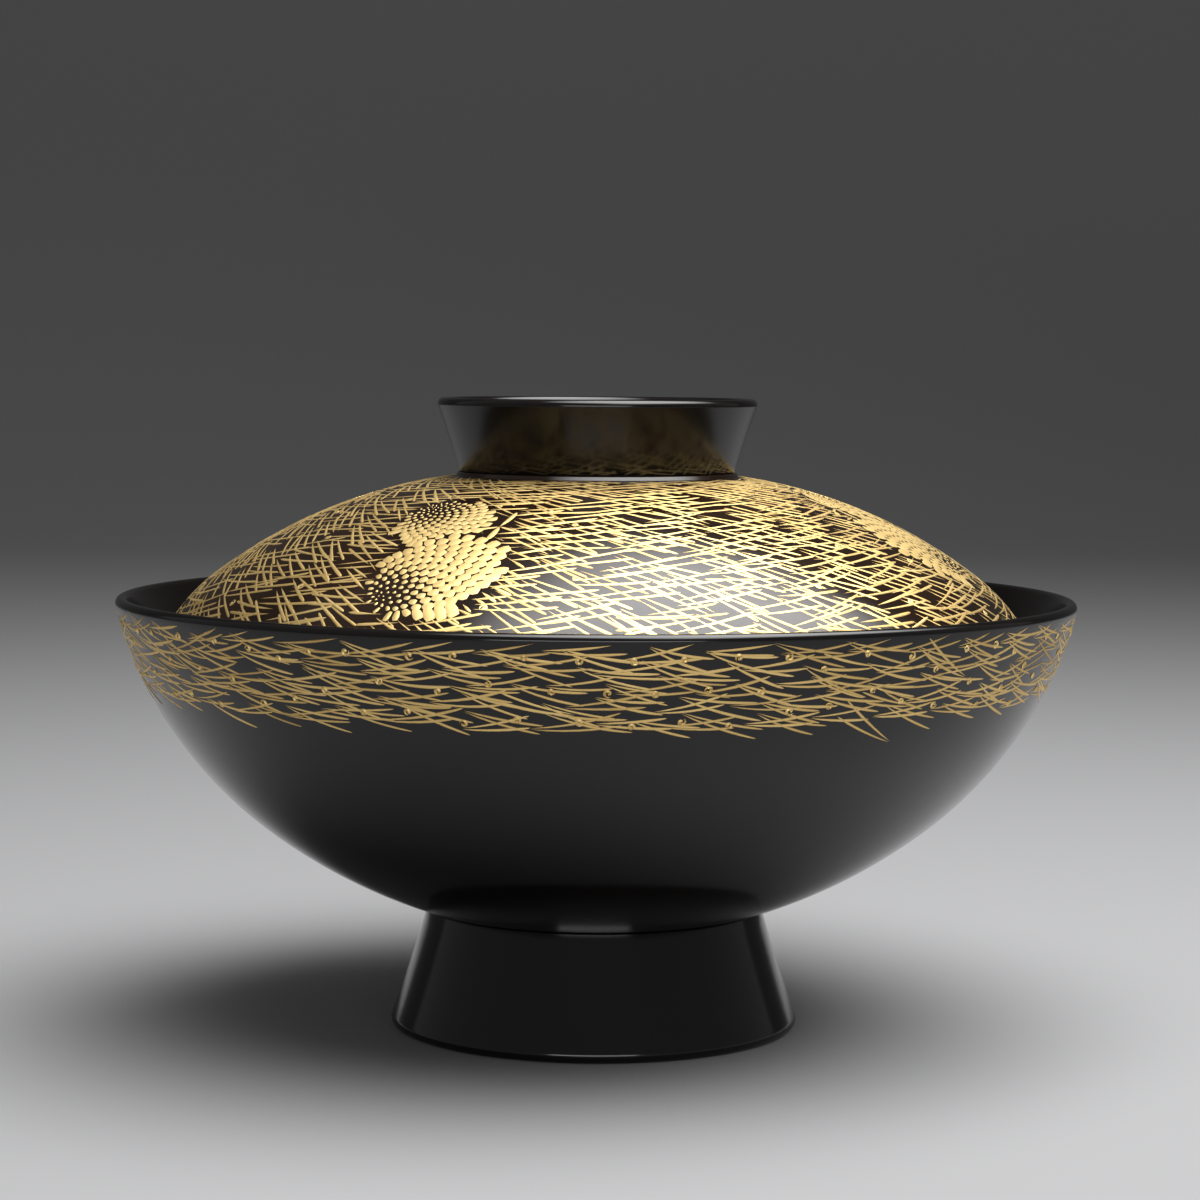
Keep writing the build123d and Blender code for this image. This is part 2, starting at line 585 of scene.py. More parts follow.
gold = {
    "scales": {"Cloud Scale": 160.0, "Grain Scale": 3800.0},
    "deep": (0.52, 0.33, 0.10, 1),
    "pale": (0.95, 0.73, 0.33, 1),
    "toneShare": 0.6,  # of a stroke's own tone in its colour, where the rest is clouds
    "rubbedAndEdgeShade": (0.10, 0.055, 0.02, 1),  # where the powder is worn thin, and as painted shade along the edges of strokes
    "worn": (0.64, 0.72),  # from the first wear to the most
    "mostWear": 0.6,
    "thinBelow": 0.25,  # tone under which the ground shows through, which gives strokes their painted dark edges
    "groundMetallic": 0.5,
    "roughness": 0.42,
    "grainRoughness": 0.16,
    "powder": 0.012 * mm,
}


def goldPowder(group):
    tree, shader, material = newMaterial("gold_powder")
    cloud, grain = placeFinish(tree, group, gold["scales"])[::2]
    tone = Formula(tree, addNode(tree, "ShaderNodeAttribute", attribute_name="tone").outputs["Fac"])
    worn = ramp((cloud + grain) / 2, *gold["worn"]) * gold["mostWear"]
    # the low tone on the edges of strokes, which is painted shade, takes the rubbed colour just as wear
    # does
    bare = 1 - ramp(tone, 0.0, gold["thinBelow"]) * (1 - worn)
    shade = tone * gold["toneShare"] + cloud * (1 - gold["toneShare"])
    powder = mixColours(tree, shade, gold["deep"], gold["pale"])
    setInputs(tree, shader, {
        "Base Color": mixColours(tree, bare, powder, gold["rubbedAndEdgeShade"]),
        "Metallic": between(bare, 1.0, gold["groundMetallic"]),
        "Roughness": grain * gold["grainRoughness"] + gold["roughness"],
        "Normal": bump(tree, grain, gold["powder"]),
    })
    return material


finishGroup = handFinish()
lacquerFinish = blackLacquer(finishGroup, "black_lacquer", lacquer["paintedBrownReflection"])
# the lid's lacquer carries a painted reflection of its gold, as warm brown clouds
goldReflectionFinish = blackLacquer(finishGroup, "lid_lacquer_painted_reflection", lacquer["paintedGoldReflection"])
goldFinish = goldPowder(finishGroup)
print("finishes ready")


# Turned pieces: the half-section goes once round the axis

def turningTree(values):
    tree, inputs = newTree("turning", values)
    section = inputs["Geometry"]
    size = addNode(tree, "GeometryNodeAttributeDomainSize", {"Geometry": section})
    count = Formula(tree, size.outputs["Point Count"])
    corners = {"Vertices X": inputs["Segments"] + 1, "Vertices Y": count}
    sheet = addNode(tree, "GeometryNodeMeshGrid", corners).outputs["Mesh"]
    index = indexOf(tree)
    ring = maths(tree, "FLOOR", (index + 0.5) / count)
    sample = {"Geometry": section, "Value": positionOf(tree), "Index": index - ring * count}
    spot = addNode(tree, "GeometryNodeSampleIndex", sample, data_type="FLOAT_VECTOR")
    reach, height = partsOf(tree, spot.outputs[0])[::2]
    place = roundAxis(reach, ring / inputs["Segments"] * fullTurn, height)
    return endTree(tree, setPlaces(tree, sheet, place), inputs["Finish"])


turningValues = {"Segments": lathe["segments"], "Finish": lacquerFinish}
turning = turningTree(turningValues)


def sectionObject(name, section, finish=lacquerFinish):
    source = pointsObject(name, [(point.x, 0, point.y) for point in section])
    runTree(source, turning, turningValues | {"Finish": finish})
    return source


def turnedPiece(name, section, node, body, finish=lacquerFinish):
    piece = plainPiece(sectionObject(name, section, finish), name, lathe["sharpTurn"])
    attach(piece, body)
    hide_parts(node)


turnedPiece("turned_bowl", bowlSection(), "bowl_body", "bowl")
turnedPiece("turned_foot", footSection(), "foot_ring", "bowl")
turnedPiece("turned_lid", lidSection(), "lid_dome", "lid", goldReflectionFinish)
turnedPiece("turned_knob", knobSection(), "knob_ring", "lid")


# Painting on a turned outside: a place is an angle around the axis and a distance along the profile.
# The profile is an upper arc and a lower one, which takes over at the bend.

Outside = namedtuple("Outside", "body upper lower")
bowlOutside = Outside("bowl", reversedArc(side), reversedArc(belly))
lidOutside = Outside("lid", crown, shoulder)


def bendOf(outside):
    return abs(outside.upper.last - outside.upper.first) * outside.upper.radius


def paintValues(values, outside):  # with what a tree has to know of the outside that it paints
    upper, lower = outside.upper, outside.lower
    return values | {
        "Upper Arc": (*upper.centre, upper.radius),  # radius and height of its centre, and its own radius
        "Upper Turn": upper.first,  # where the profile starts
        "Lower Arc": (*lower.centre, lower.radius),
        "Bend": bendOf(outside),
        "Course": copysign(1, upper.last - upper.first),  # 1 where the turn grows along the profile, or -1
        "Side": float(upper.side),
        "Finish": goldFinish,
    }


def pointAlong(outside, along):
    arc = outside.upper if along < bendOf(outside) else outside.lower
    rest = along if arc is outside.upper else along - bendOf(outside)
    turn = arc.first + copysign(rest / arc.radius, arc.last - arc.first)
    return arc.centre + heading(turn, arc.side) * arc.radius


def zoneObject(name, outside, start, end):  # a turned strip of the outside, to scatter points on
    count = ceil((end - start) / lathe["step"])
    points = [pointAlong(outside, start + (end - start) * share) for share in shares(count)]
    return sectionObject(name, points)


def arcTerms(tree, inputs):
    upper = partsOf(tree, inputs["Upper Arc"])
    lower = partsOf(tree, inputs["Lower Arc"])
    bendTurn = inputs["Upper Turn"] + inputs["Course"] * inputs["Bend"] / upper[2]
    return upper, lower, bendTurn


def placeOnOutside(tree, inputs):  # where a point of the turned strip lies
    x, y, z = partsOf(tree, positionOf(tree))
    upper, lower, bendTurn = arcTerms(tree, inputs)
    reach = lengthOf(x, y)
    upperTurn = angleOf(reach - upper[0], (z - upper[1]) * inputs["Side"])
    lowerTurn = angleOf(reach - lower[0], (z - lower[1]) * inputs["Side"])
    alongUpper = (upperTurn - inputs["Upper Turn"]) * upper[2] * inputs["Course"]
    alongLower = (lowerTurn - bendTurn) * lower[2] * inputs["Course"] + inputs["Bend"]
    return angleOf(y, x), between(alongUpper > inputs["Bend"], alongUpper, alongLower)


def outsidePoint(tree, inputs, along, lift):  # radius and height of a point on the profile
    upper, lower, bendTurn = arcTerms(tree, inputs)
    isLower = along > inputs["Bend"]
    centreReach, centreHeight, radius = [between(isLower, *pair) for pair in zip(upper, lower)]
    startTurn = between(isLower, inputs["Upper Turn"], bendTurn)
    turn = startTurn + inputs["Course"] * (along - isLower * inputs["Bend"]) / radius
    reach = centreReach + (radius + lift) * sine(turn)
    return reach, centreHeight + (radius + lift) * cosine(turn) * inputs["Side"]


def reachAt(tree, inputs, along):
    return outsidePoint(tree, inputs, along, 0.0)[0]


def layOnOutside(tree, inputs, geometry, place, aside, ahead, lift):  # by offsets from a place
    reach, height = outsidePoint(tree, inputs, place["along"] + ahead, lift)
    return setPlaces(tree, geometry, roundAxis(reach, place["around"] + aside / reach, height))


# Brush strokes: three-sided strips with a ridge, gathered at the origin and bent into shape by formulas

brush = {
    "crowding": 1.6,  # power by which the steps of a stroke lie closer towards its tip
    "fade": 0.5 * mm,  # length over which a stroke runs out at a border
    "cutBelow": 0.02,  # share of the full width under which a stroke ends
    "sunk": 0.15,  # depth of the edges under the lacquer, as a share of the ridge
    "layers": 0.3,  # height by which strokes lie over each other, as a share of the ridge
    "sharpTurn": radians(60),
}


def copiesAt(tree, points, shape):
    origin = addNode(tree, "FunctionNodeInputVector").outputs[0]
    copies = {"Points": setPlaces(tree, points, origin), "Instance": shape.outputs["Mesh"]}
    instances = addNode(tree, "GeometryNodeInstanceOnPoints", copies).outputs[0]
    return changed(tree, instances, "GeometryNodeRealizeInstances")


def stripsAt(tree, points, steps):
    inputs = {"Vertices": 3, "Side Segments": steps, "Radius": 1.0, "Depth": 1.0}
    return copiesAt(tree, points, addNode(tree, "GeometryNodeMeshCylinder", inputs, fill_type="NONE"))


def stripParts(tree):  # share of the length, -1 to 1 across, and 1 on the ridge
    x, y, z = partsOf(tree, positionOf(tree))
    edge = heading(fullTurn / 3, up)
    return z + 0.5, y / edge.x, (x - edge.y) / (1 - edge.y)


def endGold(tree, inputs, geometry, tone):
    stored = {"Name": "tone", "Value": tone}
    geometry = changed(tree, geometry, "GeometryNodeStoreNamedAttribute", stored, domain="POINT")
    return endTree(tree, geometry, inputs["Finish"])


def brushed(tree, inputs, points, stroke, clearOf):
    # A stroke starts from its base, which is half a length behind the place, and bows as it goes
    geometry = stripsAt(tree, points, inputs["Steps"])
    share, across, crest = stripParts(tree)
    share = 1 - (1 - share) ** brush["crowding"]
    taper = share ** inputs["Base Taper"] * root(1 - share ** inputs["Tip Fullness"])
    run = stroke["length"] * stroke["reach"] * share
    ahead = run - stroke["length"] / 2 + stroke["slide"]
    sideways = run * (stroke["lean"] + stroke["bow"] * share) + stroke["aside"]
    course = stroke["aim"] + stroke["lean"] + stroke["bow"] * share * 2
    middleAside, middleAhead = turnedBy(stroke["aim"], ahead, sideways)
    spot = stroke["along"] + middleAhead
    clear = ramp(spot, inputs["Start"], inputs["Start"] + brush["fade"])
    clear = clear * ramp(spot, inputs["End"], inputs["End"] - brush["fade"])
    reach = reachAt(tree, inputs, spot)
    around = stroke["around"] + middleAside / reach
    for cone in clearOf:
        clear = clear * ramp(groundShare(cone, around, spot, reach), 1.0, coneGroups["needlesFrom"])
    wide = across * inputs["Width"] * stroke["breadth"] / 2 * taper * clear
    lift = inputs["Ridge"] * ((crest - brush["sunk"]) * taper * clear + stroke["layer"] * brush["layers"])
    # painted shade: the gold darkens from the ridge towards the edges
    tone = stroke["tone"] * between(crest, inputs["Painted Edge Shade"], 1.0)
    geometry, held = capture(tree, geometry, {"clear": clear, "tone": tone})
    aside = middleAside - wide * sine(course)
    ahead = middleAhead + wide * cosine(course)
    geometry = layOnOutside(tree, inputs, geometry, stroke, aside, ahead, lift)
    geometry = dropWhere(tree, geometry, held["clear"] < brush["cutBelow"], "FACE")
    return endGold(tree, inputs, geometry, held["tone"])


def goldPiece(source, name, tree, values, outside):
    runTree(source, tree, paintValues(values, outside))
    piece = plainPiece(source, name, brush["sharpTurn"])
    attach(piece, outside.body)


# Pine cones, in groups round the lid: a front cone, one behind it and a sprig

coneGroups = {
    "places": [  # angle round the lid, shift along the profile, 1 or -1 if mirrored, and turn of the cones
        (radians(-113.6), 0.0, 1, 0.0),
        (radians(-18.0), -4.0 * mm, -1, radians(6)),
        (radians(80.0), 1.0 * mm, 1, radians(-11)),
        (radians(161.0), -2.0 * mm, -1, radians(9)),
    ],
    "gap": 0.3 * mm,  # bare ground round a cone
    "needlesFrom": 1.08,  # times the outline of that ground, where needles have their full width again
    "budsFrom": 1.1,  # times that outline, within which there are none
    "front": {
        "around": radians(-1.1),
        "along": 30.7 * mm,
        "length": 18.5 * mm,
        "width": 17.0 * mm,
        "tip": radians(138),
    },
    "behind": {
        "around": radians(-8.2),
        "along": 18.4 * mm,
        "length": 14.5 * mm,
        "width": 13.0 * mm,
        "tip": radians(-136),
    },
    "sprigGround": {
        "around": radians(5.2),
        "along": 19.2 * mm,
        "length": 6.6 * mm,
        "width": 3.6 * mm,
        "tip": radians(100),
    },
}


def coneShare(cone, aside, ahead, gap):  # 1 on the outline of a cone, from offsets to its middle
    alongTip = aside * cos(cone["tip"]) + ahead * sin(cone["tip"])
    acrossTip = ahead * cos(cone["tip"]) - aside * sin(cone["tip"])
    return lengthOf(alongTip / (cone["length"] / 2 + gap), acrossTip / (cone["width"] / 2 + gap))


def groundShare(cone, around, along, reach):  # 1 on the outline of its bare ground, from a place on the lid
    aside = maths(around.tree, "WRAP", around - cone["around"], pi, -pi) * reach
    return coneShare(cone, aside, along - cone["along"], coneGroups["gap"])


def placed(form, place):
    around, shift, mirror, turn = place
    return form | {
        "around": around + form["around"] * mirror,
        "along": form["along"] + shift,
        "tip": turn + (form["tip"] if mirror > 0 else pi - form["tip"]),
    }


grounds = [coneGroups[name] for name in ("front", "behind", "sprigGround")]
coneGrounds = [placed(form, place) for place in coneGroups["places"] for form in grounds]


# Pine needles: pairs that fork from one base, in one family that rises to the right and one that falls

bandRising = {
    "Seed": 11,
    "Zone Start": 0.5 * mm,  # places on the profile between which the pairs have their middles
    "Zone End": 12.0 * mm,
    "Heading": radians(2),
    "Spread": radians(5),  # of the headings
    "Row Spacing": 2.2 * mm,
    "Belt Rows": 5,  # rows with the same number of places on their way round
    "Pair Spacing": 8.8 * mm,  # in a row
    "Stagger": 0.42,  # how far a row is set off against the row above, as a share of the spacing
    "Stray": 0.5 * mm,  # how far a pair strays from its place
    "Slide": 1.4 * mm,  # how far it strays along its own course
    "Shortest": 8.8 * mm,
    "Longest": 11.6 * mm,
    "Steps": 8,  # along a needle
    "Width": 0.5 * mm,
    "Ridge": 0.1 * mm,
    "Base Taper": 0.45,  # power by which a needle widens from its base
    "Tip Fullness": 5.0,  # blunter tips where it is larger
    "Painted Edge Shade": 0.1,  # painted shade: along the edges the gold darkens to this share of the tone on the ridge
    "Opening": radians(13),  # widest angle in a pair
    "Base Gap": 0.15 * mm,  # between the needles of a pair where they start
    "Bow": -0.155,
    "Turned Share": 0.05,  # pairs that open to the left
    "Start": 0.2 * mm,  # bare above this place on the profile
    "End": 15.0 * mm,
}
bandFalling = bandRising | {
    "Seed": 31,
    "Zone Start": 1.3 * mm,
    "Zone End": 12.3 * mm,
    "Heading": radians(22),
    "Stagger": 0.22,
}
lidRising = {
    "Seed": 23,
    "Zone Start": 0.2 * mm,
    "Zone End": 48.6 * mm,
    "Heading": radians(-7),
    "Spread": radians(6),
    "Row Spacing": 2.5 * mm,
    "Belt Rows": 4,
    "Pair Spacing": 11.0 * mm,
    "Stagger": 0.5,
    "Stray": 0.5 * mm,
    "Slide": 2.0 * mm,
    "Shortest": 10.5 * mm,
    "Longest": 13.5 * mm,
    "Steps": 7,
    "Width": 0.47 * mm,
    "Ridge": 0.08 * mm,
    "Base Taper": 0.35,
    "Tip Fullness": 20.0,
    "Painted Edge Shade": 0.4,
    "Opening": radians(8),
    "Base Gap": 0.8 * mm,
    "Bow": -0.08,
    "Turned Share": 0.1,
    "Start": 0.4 * mm,
    "End": 48.8 * mm,
}
lidFalling = lidRising | {
    "Seed": 47,
    "Heading": radians(35),
    "Spread": radians(7),
    "Row Spacing": 2.4 * mm,
    "Pair Spacing": 8.6 * mm,
    "Stagger": -0.13,
    "Shortest": 7.5 * mm,
    "Longest": 10.0 * mm,
    "Opening": radians(10),
    "Base Gap": 0.7 * mm,
    "Bow": -0.03,
}
needleRanges = {  # lowest and highest share of a size that a pair or a needle has
    "opening": (0.5, 1.0),
    "bow": (0.5, 1.2),
    "tone": (0.25, 1.0),
    "reach": (0.84, 1.0),
    "breadth": (0.85, 1.15),
}


def rowsRound(tree, inputs):
    depth = inputs["Zone End"] - inputs["Zone Start"]
    count = maths(tree, "ROUND", depth / inputs["Row Spacing"])
    rows = addNode(tree, "GeometryNodePoints", {"Count": count}).outputs[0]
    index = indexOf(tree)
    beltMiddle = (maths(tree, "FLOOR", (index + 0.5) / inputs["Belt Rows"]) + 0.5) * inputs["Belt Rows"]
    reach = reachAt(tree, inputs, inputs["Zone Start"] + depth * beltMiddle / count)
    rows, row = capture(tree, rows, {
        "along": inputs["Zone Start"] + depth * (index + 0.5) / count,
        "room": maths(tree, "ROUND", reach * fullTurn / inputs["Pair Spacing"]),
        "step": index * inputs["Stagger"],
    })
    points, number = repeatPoints(tree, rows, row["room"])
    strayAside = inputs["Stray"] * chance(tree, -1.0, 1.0, inputs["Seed"] + 11)
    strayAhead = inputs["Stray"] * chance(tree, -1.0, 1.0, inputs["Seed"] + 12)
    step = row["step"] + number + strayAside / inputs["Pair Spacing"]
    return points, step / row["room"] * fullTurn - pi / 2, row["along"] + strayAhead


def needleTree(name, values, outside, clearOf):
    tree, inputs = newTree(name, paintValues(values, outside))
    seed = inputs["Seed"]
    points, around, along = rowsRound(tree, inputs)
    isTurned = chance(tree, 0.0, 1.0, seed + 1) < inputs["Turned Share"]
    points, pair = capture(tree, points, {
        "around": around,
        "along": along,
        "aim": inputs["Heading"] + inputs["Spread"] * chance(tree, -1.0, 1.0, seed + 2) + isTurned * pi,
        "length": between(chance(tree, 0.0, 1.0, seed + 3), inputs["Shortest"], inputs["Longest"]),
        "opening": inputs["Opening"] * chance(tree, *needleRanges["opening"], seed + 4),
        "bow": inputs["Bow"] * chance(tree, *needleRanges["bow"], seed + 5) * (1 - isTurned * 2),
        "tone": chance(tree, *needleRanges["tone"], seed + 6),
        "slide": inputs["Slide"] * chance(tree, -1.0, 1.0, seed + 7),
    })
    points, number = repeatPoints(tree, points, 2)
    fork = number * 2 - 1
    points, needle = capture(tree, points, {
        "lean": fork * pair["opening"] / 2,
        "aside": fork * inputs["Base Gap"] / 2,
        "reach": chance(tree, *needleRanges["reach"], seed + 8),
        "breadth": chance(tree, *needleRanges["breadth"], seed + 9),
        "layer": chance(tree, 0.0, 1.0, seed + 10),
    })
    return brushed(tree, inputs, points, pair | needle, clearOf)


bandTree = needleTree("band_needles", bandRising, bowlOutside, [])
for name, values in (("band_rising", bandRising), ("band_falling", bandFalling)):
    goldPiece(pointsObject(name, []), name, bandTree, values, bowlOutside)
lidTree = needleTree("lid_needles", lidRising, lidOutside, coneGrounds)
for name, values in (("lid_rising", lidRising), ("lid_falling", lidFalling)):
    goldPiece(pointsObject(name, []), name, lidTree, values, lidOutside)


# Sprigs: a few leaves beside each group of cones

sprigLeaves = {
    "Steps": 8,
    "Width": 1.0 * mm,
    "Ridge": 0.1 * mm,
    "Base Taper": 0.5,
    "Tip Fullness": 3.0,
    "Painted Edge Shade": 0.5,
    "Start": 0.5 * mm,
    "End": 48.4 * mm,
}
sprig = {
    "around": radians(4.9),  # from the middle of the group
    "along": 19.4 * mm,
    "leaves": [  # heading, length, breadth and bow
        (radians(92), 3.4 * mm, 1.25, 0.10),
        (radians(-70), 4.4 * mm, 0.95, -0.14),
        (radians(158), 3.2 * mm, 0.70, 0.12),
        (radians(20), 2.6 * mm, 0.65, 0.10),
    ],
    "stroke": {  # the same for every leaf
        "slide": 0.0,
        "lean": 0.0,
        "aside": 0.0,
        "reach": 1.0,
        "layer": 1.5,  # over the needles, whose layers end at 1
        "tone": 0.8,
    },
}


def rowsPiece(name, rows, makeTree, values):  # from a point for each row, which carries the row's values
    columns = {key: [row[key] for row in rows] for key in rows[0]}
    source = pointsObject(name, [(0, 0, 0)] * len(rows), columns)
    goldPiece(source, name, makeTree(columns), values, lidOutside)


def rowValues(tree, inputs, names):
    nodes = {name: addNode(tree, "GeometryNodeInputNamedAttribute", {"Name": name}) for name in names}
    values = {name: Formula(tree, outputOf(node, "Attribute")) for name, node in nodes.items()}
    return capture(tree, inputs["Geometry"], values)


def leafTree(names):
    tree, inputs = newTree("sprig_leaves", paintValues(sprigLeaves, lidOutside))
    points, leaf = rowValues(tree, inputs, names)
    return brushed(tree, inputs, points, leaf, [])


def leafRows():
    rows = []
    for place in coneGroups["places"]:
        mirror = place[2]
        for aim, length, breadth, bow in sprig["leaves"]:
            leaf = placed(sprig | {"tip": aim}, place)
            reach = pointAlong(lidOutside, leaf["along"]).x
            rows.append(sprig["stroke"] | {
                "around": leaf["around"] + cos(leaf["tip"]) * length / 2 / reach,
                "along": leaf["along"] + sin(leaf["tip"]) * length / 2,
                "aim": leaf["tip"],
                "length": length,
                "bow": bow * mirror,
                "breadth": breadth,
            })
    return rows


rowsPiece("lid_sprigs", leafRows(), leafTree, sprigLeaves)


# Buds: small scrolls among the needles

bandBuds = {
    "Seed": 5,
    "Spacing": 5.0 * mm,
    "Density": 4e6,  # places to a square metre before the spacing thins them out
    "Smallest": 0.85 * mm,
    "Largest": 1.25 * mm,
    "Winding": 1.2,  # turns of a scroll
    "Steps": 12,  # along a scroll
    "Eye": 0.04,  # where it starts, as a share of its radius
    "Width": 0.42 * mm,
    "Eye Width": 1.4,  # times the width, at its start
    "End Width": 0.7,
    "Ridge": 0.16 * mm,
    "Least Tone": 0.3,
}
lidBuds = bandBuds | {"Seed": 7, "Spacing": 12.0 * mm, "Ridge": 0.07 * mm}
budZones = {"band_buds": (1.8 * mm, 11.0 * mm), "lid_buds": (2.0 * mm, 47.0 * mm)}  # along the profile


def scatter(tree, inputs):
    options = {
        "Mesh": inputs["Geometry"],
        "Distance Min": inputs["Spacing"],
        "Density Max": inputs["Density"],
        "Seed": inputs["Seed"],
    }
    node = addNode(tree, "GeometryNodeDistributePointsOnFaces", options, distribute_method="POISSON")
    return node.outputs["Points"]


def budTree(name, values, outside, clearOf):
    tree, inputs = newTree(name, paintValues(values, outside))
    seed = inputs["Seed"]
    around, along = placeOnOutside(tree, inputs)
    points, bud = capture(tree, scatter(tree, inputs), {
        "around": around,
        "along": along,
        "size": between(chance(tree, 0.0, 1.0, seed + 1), inputs["Smallest"], inputs["Largest"]),
        "aim": chance(tree, 0.0, fullTurn, seed + 2),
        "tone": chance(tree, inputs["Least Tone"], 1.0, seed + 3),
    })
    reach = reachAt(tree, inputs, bud["along"])
    for cone in clearOf:
        ground = groundShare(cone, bud["around"], bud["along"], reach)
        points = dropWhere(tree, points, ground < coneGroups["budsFrom"], "POINT")
    geometry = stripsAt(tree, points, inputs["Steps"])
    share, across, crest = stripParts(tree)
    ends = share * 2 - 1
    taper = 1 - ends * ends * ends * ends
    turn = bud["aim"] + share * inputs["Winding"] * fullTurn
    breadth = inputs["Width"] * between(share, inputs["Eye Width"], inputs["End Width"])
    distance = bud["size"] / 2 * between(share, inputs["Eye"], 1.0) + across * breadth / 2 * taper
    aside = distance * cosine(turn)
    ahead = distance * sine(turn) * -1
    lift = inputs["Ridge"] * ((crest - brush["sunk"]) * taper + brush["layers"])
    geometry = layOnOutside(tree, inputs, geometry, bud, aside, ahead, lift)
    return endGold(tree, inputs, geometry, bud["tone"])


for name, values, outside, clearOf in (
    ("band_buds", bandBuds, bowlOutside, []),
    ("lid_buds", lidBuds, lidOutside, coneGrounds),
):
    zone = zoneObject(name, outside, *budZones[name])
    goldPiece(zone, name, budTree(name, values, outside, clearOf), values, outside)


# Cone scales: a spiral that opens from the tip, cut off at the outline of the cone

coneScales = {
    "Seed": 3,
    "Scales": 420,  # on the whole spiral, also outside the outline
    "Growth": 0.64,  # power by which the spiral opens
    "Tip Place": 0.8,  # middle of the spiral, as a share of half the length
    "Tip Fill": 0.26,  # size of a scale against the room that it has, at the tip
    "Fill": 1.17,
    "Filled From": 7.5 * mm,  # distance from the tip
    "Outer From": 0.8,  # shares of the outline between which the scales turn square to it
    "Outer": 0.95,
    "Last": 0.97,  # share of the outline past which there are none
    "Tooth": 0.9,  # how much longer the scales on the outline are
    "Tooth From": -0.3,  # sines of the headings between which the teeth grow, longest down the lid
    "Tooth Full": 0.6,
    "Segments": 10,  # of a scale
    "Rings": 5,
    "Slimness": 0.86,
    "Widening": 0.4,  # towards the outer end
    "Height": 0.09 * mm,
    "Middle Height": 0.7,  # share of the height in the middle of a scale
    "Rise": 0.6,  # towards the outer end
    "Least Tone": 0.6,
}


def squareRound(x, y):  # factor that swells a circle towards a square
    tiny = 1e-9  # keeps the middle from dividing by zero
    return root(x * x + y * y + tiny) / root(root(x * x * x * x + y * y * y * y + tiny**2))


def coneTree(names):
    tree, inputs = newTree("cone_scales", paintValues(coneScales, lidOutside))
    points, cone = rowValues(tree, inputs, names)
    points, number = repeatPoints(tree, points, inputs["Scales"])
    number = number + 0.5
    share = number / inputs["Scales"]
    spiralReach = cone["length"] * (inputs["Tip Place"] + 1) / 2
    distance = share ** inputs["Growth"] * spiralReach
    turn = number * goldenTurn
    ahead = inputs["Tip Place"] * cone["length"] / 2 + distance * cosine(turn)
    sideways = distance * sine(turn)
    first = ahead * 2 / cone["length"]
    second = sideways * 2 / cone["width"]
    outline = lengthOf(first, second)
    crowding = share ** (inputs["Growth"] * 2 - 1) * inputs["Growth"] * fullTurn / inputs["Scales"]
    fill = between(ramp(distance, 0.0, inputs["Filled From"]), inputs["Tip Fill"], inputs["Fill"])
    size = root(crowding) * spiralReach * fill
    isOuter = ramp(outline, inputs["Outer From"], inputs["Outer"])
    aim = cone["tip"] + angleOf(
        between(isOuter, sine(turn), second / cone["width"] * cone["length"]),
        between(isOuter, cosine(turn), first),
    )
    scaleAside, scaleAhead = turnedBy(cone["tip"], ahead, sideways)
    tooth = inputs["Tooth"] * isOuter * ramp(sine(aim), inputs["Tooth From"], inputs["Tooth Full"])
    points, scale = capture(tree, points, {
        "outline": outline,
        "aside": scaleAside,
        "ahead": scaleAhead,
        "aim": aim,
        "long": size * (1 + tooth),
        "wide": size * inputs["Slimness"],
        "tone": chance(tree, inputs["Least Tone"], 1.0, inputs["Seed"]),
    })
    frontAside = (scale["aside"] + cone["frontAside"]) * cone["mirror"]
    frontAhead = scale["ahead"] + cone["frontAhead"]
    isHidden = coneShare(coneGroups["front"], frontAside, frontAhead, 0.0) < 1
    points = dropWhere(tree, points, isHidden + (scale["outline"] > inputs["Last"]), "POINT")
    pebble = {"Segments": inputs["Segments"], "Rings": inputs["Rings"], "Radius": 0.5}
    geometry = copiesAt(tree, points, addNode(tree, "GeometryNodeMeshUVSphere", pebble))
    x, y, z = partsOf(tree, positionOf(tree))
    squareness = squareRound(x, y)
    alongScale = x * squareness * scale["long"]
    acrossScale = y * squareness * scale["wide"] * (1 + x * inputs["Widening"])
    shiftAside, shiftAhead = turnedBy(scale["aim"], alongScale, acrossScale)
    aside = scale["aside"] + shiftAside
    ahead = scale["ahead"] + shiftAhead
    lift = z * 2 * inputs["Height"] * (inputs["Middle Height"] + x * inputs["Rise"])
    geometry = layOnOutside(tree, inputs, geometry, cone, aside, ahead, lift)
    return endGold(tree, inputs, geometry, scale["tone"])


def coneRows():
    farAway = 1.0  # a front cone has none before it
    rows = []
    for place in coneGroups["places"]:
        front, behind = [placed(coneGroups[name], place) for name in ("front", "behind")]
        reach = pointAlong(lidOutside, behind["along"]).x
        mirror = {"mirror": float(place[2])}
        rows.append(front | mirror | {"frontAside": farAway, "frontAhead": farAway})
        rows.append(behind | mirror | {
            "frontAside": (behind["around"] - front["around"]) * reach,
            "frontAhead": behind["along"] - front["along"],
        })
    return rows


rowsPiece("lid_cones", coneRows(), coneTree, coneScales)


# Studio: a pale sweep, a softbox overhead, a low fill, and the camera where the photograph was taken

studio = {
    "floorColour": (0.27, 0.27, 0.275, 1),
    "floorShade": 0.97,  # share of its colour in the darker clouds
    "floorClouds": 1.5,  # scale
    "floorRoughness": 0.6,
    "halfWidth": 3.0,
    "front": -3.0,
    "back": 1.1,
    "sweepRadius": 0.9,
    "sweepSteps": 16,
    "wallTop": 3.0,
    "world": 0.2,
    "softboxSize": (0.95, 0.8),
    "softboxPlace": (0.15, -0.08, 0.62),
    "softboxWatts": 12.0,
    "softboxSpread": radians(130),
    "softboxEdge": 0.8,  # share of the softbox over which it dims
    "fillSize": (1.05, 0.22),
    "fillPlace": (0.0, -1.2, 0.11),
    "fillWatts": 3.0,
}
camera = {
    "sensor": 36,  # width, in the unit of the focal length
    "focal": 96.68,
    "place": (0.51 * mm, -439.6 * mm, 91.0 * mm),
    "pitch": radians(4.25),
    "roll": radians(0.38),
}


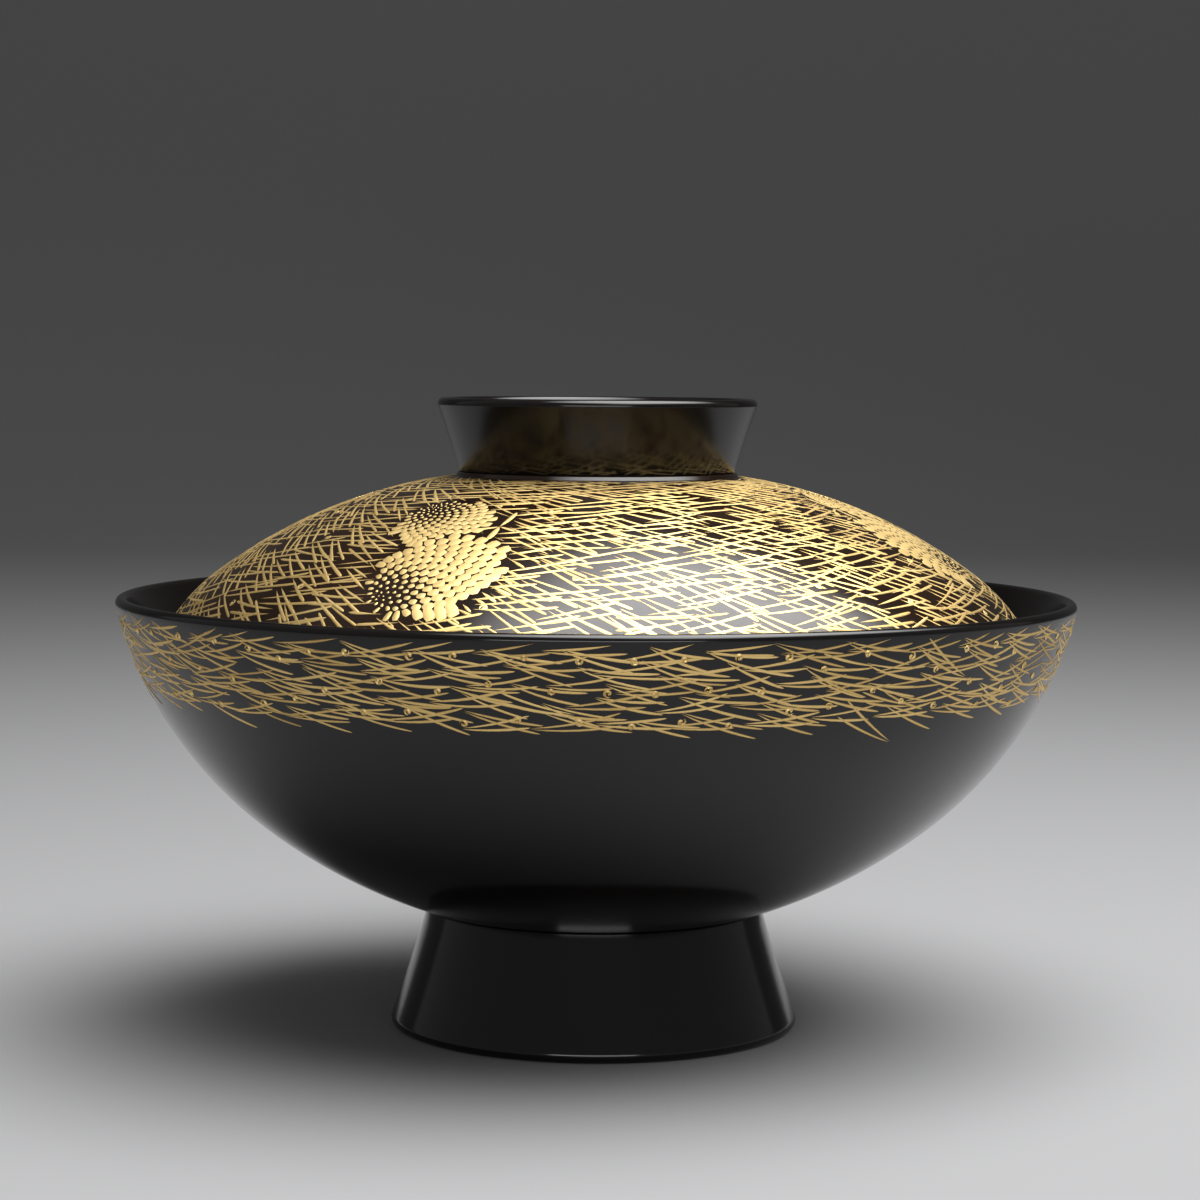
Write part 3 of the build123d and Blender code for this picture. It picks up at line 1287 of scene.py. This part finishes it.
def floorFinish():
    tree, shader, material = newMaterial("studio_sweep")
    cloud = noise(tree, objectPlace(tree), studio["floorClouds"])
    pale = studio["floorColour"]
    darker = tuple(part * studio["floorShade"] for part in pale[:3]) + (1,)
    colour = mixColours(tree, cloud, pale, darker)
    setInputs(tree, shader, {"Base Color": colour, "Roughness": studio["floorRoughness"]})
    return material


def studioSweep():
    radius = studio["sweepRadius"]
    turns = [pi / 2 * share for share in shares(studio["sweepSteps"])]
    line = [(studio["front"], 0.0)]
    line += [(studio["back"] + radius * sin(turn), radius * (1 - cos(turn))) for turn in turns]
    line.append((studio["back"] + radius, studio["wallTop"]))
    wide = studio["halfWidth"]
    points = [(x, y, z) for y, z in line for x in (-wide, wide)]
    faces = [(2 * i, 2 * i + 1, 2 * i + 3, 2 * i + 2) for i in range(len(line) - 1)]
    mesh = bpy.data.meshes.new("studio_sweep")
    mesh.from_pydata(points, [], faces)
    mesh.shade_smooth()
    mesh.materials.append(floorFinish())
    newObject("studio_sweep", mesh)


def softEdges(lamp, share):
    lamp.use_nodes = True
    tree = lamp.node_tree
    place = partsOf(tree, addNode(tree, "ShaderNodeNewGeometry").outputs["Parametric"])
    fades = [ramp(part * (1 - part) * 4, 0.0, share) for part in place[:2]]
    setInputs(tree, tree.nodes["Emission"], {"Strength": fades[0] * fades[1]})


def areaLamp(name, target, spread=pi):
    lamp = bpy.data.lights.new(name, "AREA")
    lamp.shape = "RECTANGLE"
    lamp.size, lamp.size_y = studio[name + "Size"]
    lamp.energy = studio[name + "Watts"]
    lamp.spread = spread
    place = Vector(studio[name + "Place"])
    holder = newObject(name, lamp)
    holder.location = place
    holder.rotation_euler = (target - place).to_track_quat("-Z", "Y").to_euler()
    return lamp


def studioWorld():
    world = bpy.data.worlds.new("studio")
    world.use_nodes = True
    tree = world.node_tree
    setInputs(tree, tree.nodes["Background"], {"Color": (1, 1, 1, 1), "Strength": studio["world"]})
    bpy.context.scene.world = world


def studioCamera():
    lens = bpy.data.cameras.new("camera")
    lens.lens = camera["focal"]
    lens.sensor_width = camera["sensor"]
    holder = newObject("camera", lens)
    tilt = Matrix.Rotation(pi / 2 - camera["pitch"], 4, "X") @ Matrix.Rotation(camera["roll"], 4, "Z")
    holder.matrix_world = Matrix.Translation(camera["place"]) @ tilt
    bpy.context.scene.camera = holder


studioSweep()
middle = (cadBox[0] + cadBox[1]) / 2
softEdges(areaLamp("softbox", middle, studio["softboxSpread"]), studio["softboxEdge"])
areaLamp("fill", middle)
studioWorld()
studioCamera()
bpy.context.scene.view_settings.view_transform = "Standard"
print("studio ready")
